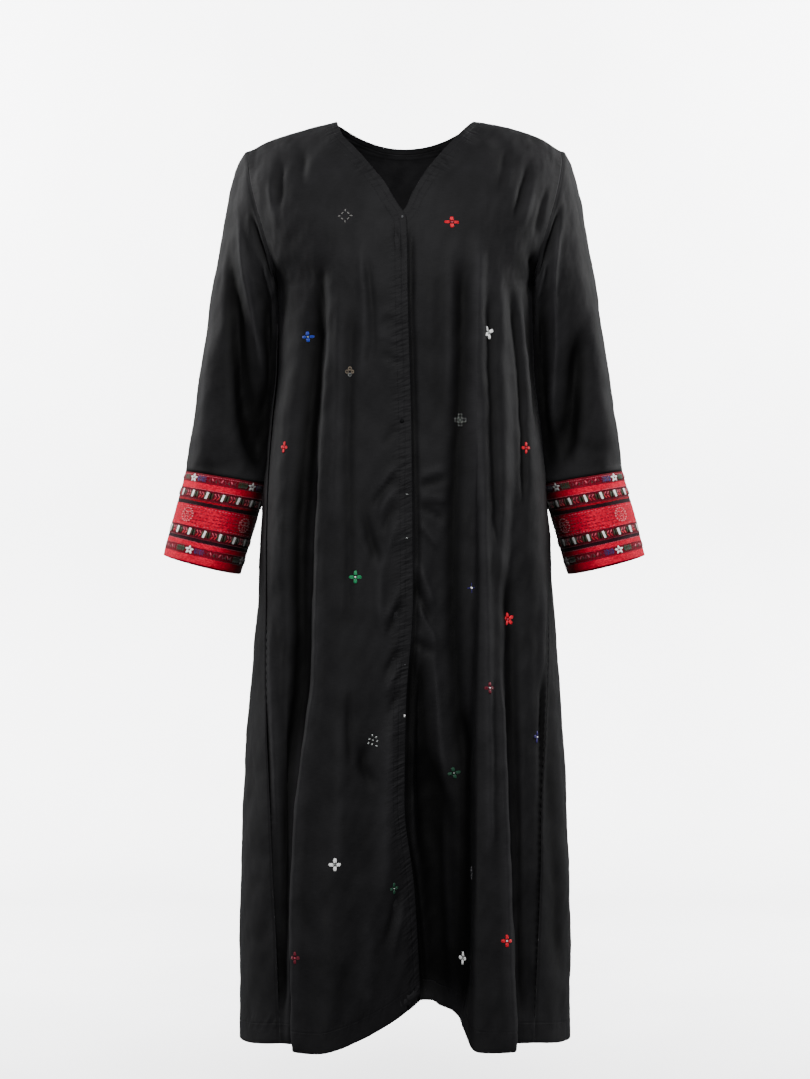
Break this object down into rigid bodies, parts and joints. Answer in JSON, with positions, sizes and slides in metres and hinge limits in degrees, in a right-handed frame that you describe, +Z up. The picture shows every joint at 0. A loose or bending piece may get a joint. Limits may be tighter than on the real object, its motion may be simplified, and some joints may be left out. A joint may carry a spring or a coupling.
{
  "type": "abaya",
  "caption": "Long black abaya with a V neck, lapped front closed by press studs, set-in sleeves and deep red embroidered cuff bands, hollow as worn.",
  "frame": {"origin": "on the centre plane, level with the neck points of the shoulder seams, where the garment rests on the wearer's shoulders", "axes": "+Z up along the garment's length, -Y out of the front, +X to the wearer's left"},
  "size_m": [0.7112, 0.3748, 1.3411],
  "materials": {
    "black_cloth": "light plain-weave cloth with a soft sheen",
    "embroidered_cuff": "red cloth, embroidered all over",
    "snap_metal": "nickel plated"
  },
  "bodies": {
    "root": {"front_right": "black_cloth", "front_left": "black_cloth", "back": "black_cloth", "sleeve_right": "black_cloth", "sleeve_left": "black_cloth", "cuff_right": "embroidered_cuff", "cuff_left": "embroidered_cuff", "press_stud_1": "snap_metal", "press_stud_2": "snap_metal", "press_stud_3": "snap_metal", "press_stud_4": "snap_metal", "press_stud_5": "snap_metal", "press_stud_6": "snap_metal"}
  },
  "joints": []
}
